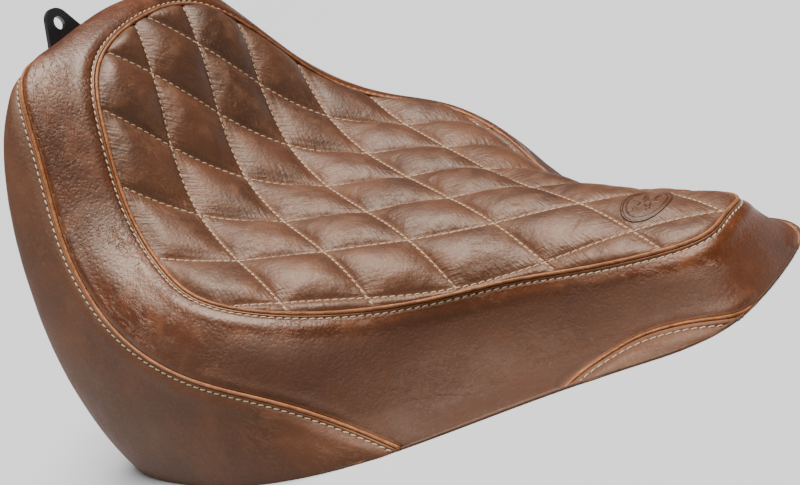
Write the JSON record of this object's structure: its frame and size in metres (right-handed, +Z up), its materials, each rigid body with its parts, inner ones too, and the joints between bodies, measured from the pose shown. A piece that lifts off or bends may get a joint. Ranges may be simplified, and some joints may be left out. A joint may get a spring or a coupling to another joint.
{
  "type": "motorcycle seat",
  "caption": "Solo motorcycle seat with a raised back, diamond-quilted leather panel, welted sides, a tunnel underneath and a steel rear tab.",
  "frame": {"origin": "middle of the bounding box on the plane that the seat stands on", "axes": "+X towards the nose, +Y towards the rider's left, +Z up, with the seat standing on its skirts"},
  "size_m": [0.4663, 0.3858, 0.2909],
  "materials": {
    "quilt_leather": "distressed satin, diamond-stitched",
    "band_leather": "distressed satin, wrinkled",
    "skirt_leather": "smoother satin",
    "welt_leather": "polished on its crest",
    "hem_leather": "flesh side turned in, matte",
    "foam": "open-cell polyurethane foam",
    "pan": "moulded, fine grain",
    "black_steel": "black powder coat",
    "zinc_steel": "bright zinc plated",
    "rubber": "matte moulded",
    "felt": "pressed felt"
  },
  "bodies": {
    "root": {"bumper_front_left": "rubber", "bumper_front_right": "rubber", "bumper_front_screw_left": "zinc_steel", "bumper_front_screw_right": "zinc_steel", "bumper_rear_left": "rubber", "bumper_rear_right": "rubber", "bumper_rear_screw_left": "zinc_steel", "bumper_rear_screw_right": "zinc_steel", "cover_hem": "hem_leather", "felt_pad_left": "felt", "felt_pad_right": "felt", "foam_core": "foam", "front_skirt_left": "skirt_leather", "front_skirt_right": "skirt_leather", "front_welt_left": "welt_leather", "front_welt_right": "welt_leather", "hem_rivet_1_left": "zinc_steel", "hem_rivet_1_right": "zinc_steel", "hem_rivet_2_left": "zinc_steel", "hem_rivet_2_right": "zinc_steel", "hem_rivet_3_left": "zinc_steel", "hem_rivet_3_right": "zinc_steel", "hem_rivet_4_left": "zinc_steel", "hem_rivet_4_right": "zinc_steel", "hem_rivet_5_left": "zinc_steel", "hem_rivet_5_right": "zinc_steel", "hem_rivet_6_left": "zinc_steel", "hem_rivet_6_right": "zinc_steel", "hem_rivet_7_left": "zinc_steel", "hem_rivet_7_right": "zinc_steel", "hem_rivet_8_left": "zinc_steel", "hem_rivet_8_right": "zinc_steel", "inlay_panel": "quilt_leather", "inlay_welt": "welt_leather", "main_band": "band_leather", "nose_tongue": "zinc_steel", "quilt_foam_layer": "foam", "rear_mount_tab": "black_steel", "rear_skirt": "skirt_leather", "rear_skirt_welt": "welt_leather", "seat_pan": "pan", "tab_rivet_front": "zinc_steel", "tab_rivet_rear": "zinc_steel", "tongue_rivet_left": "zinc_steel", "tongue_rivet_right": "zinc_steel"}
  },
  "joints": []
}
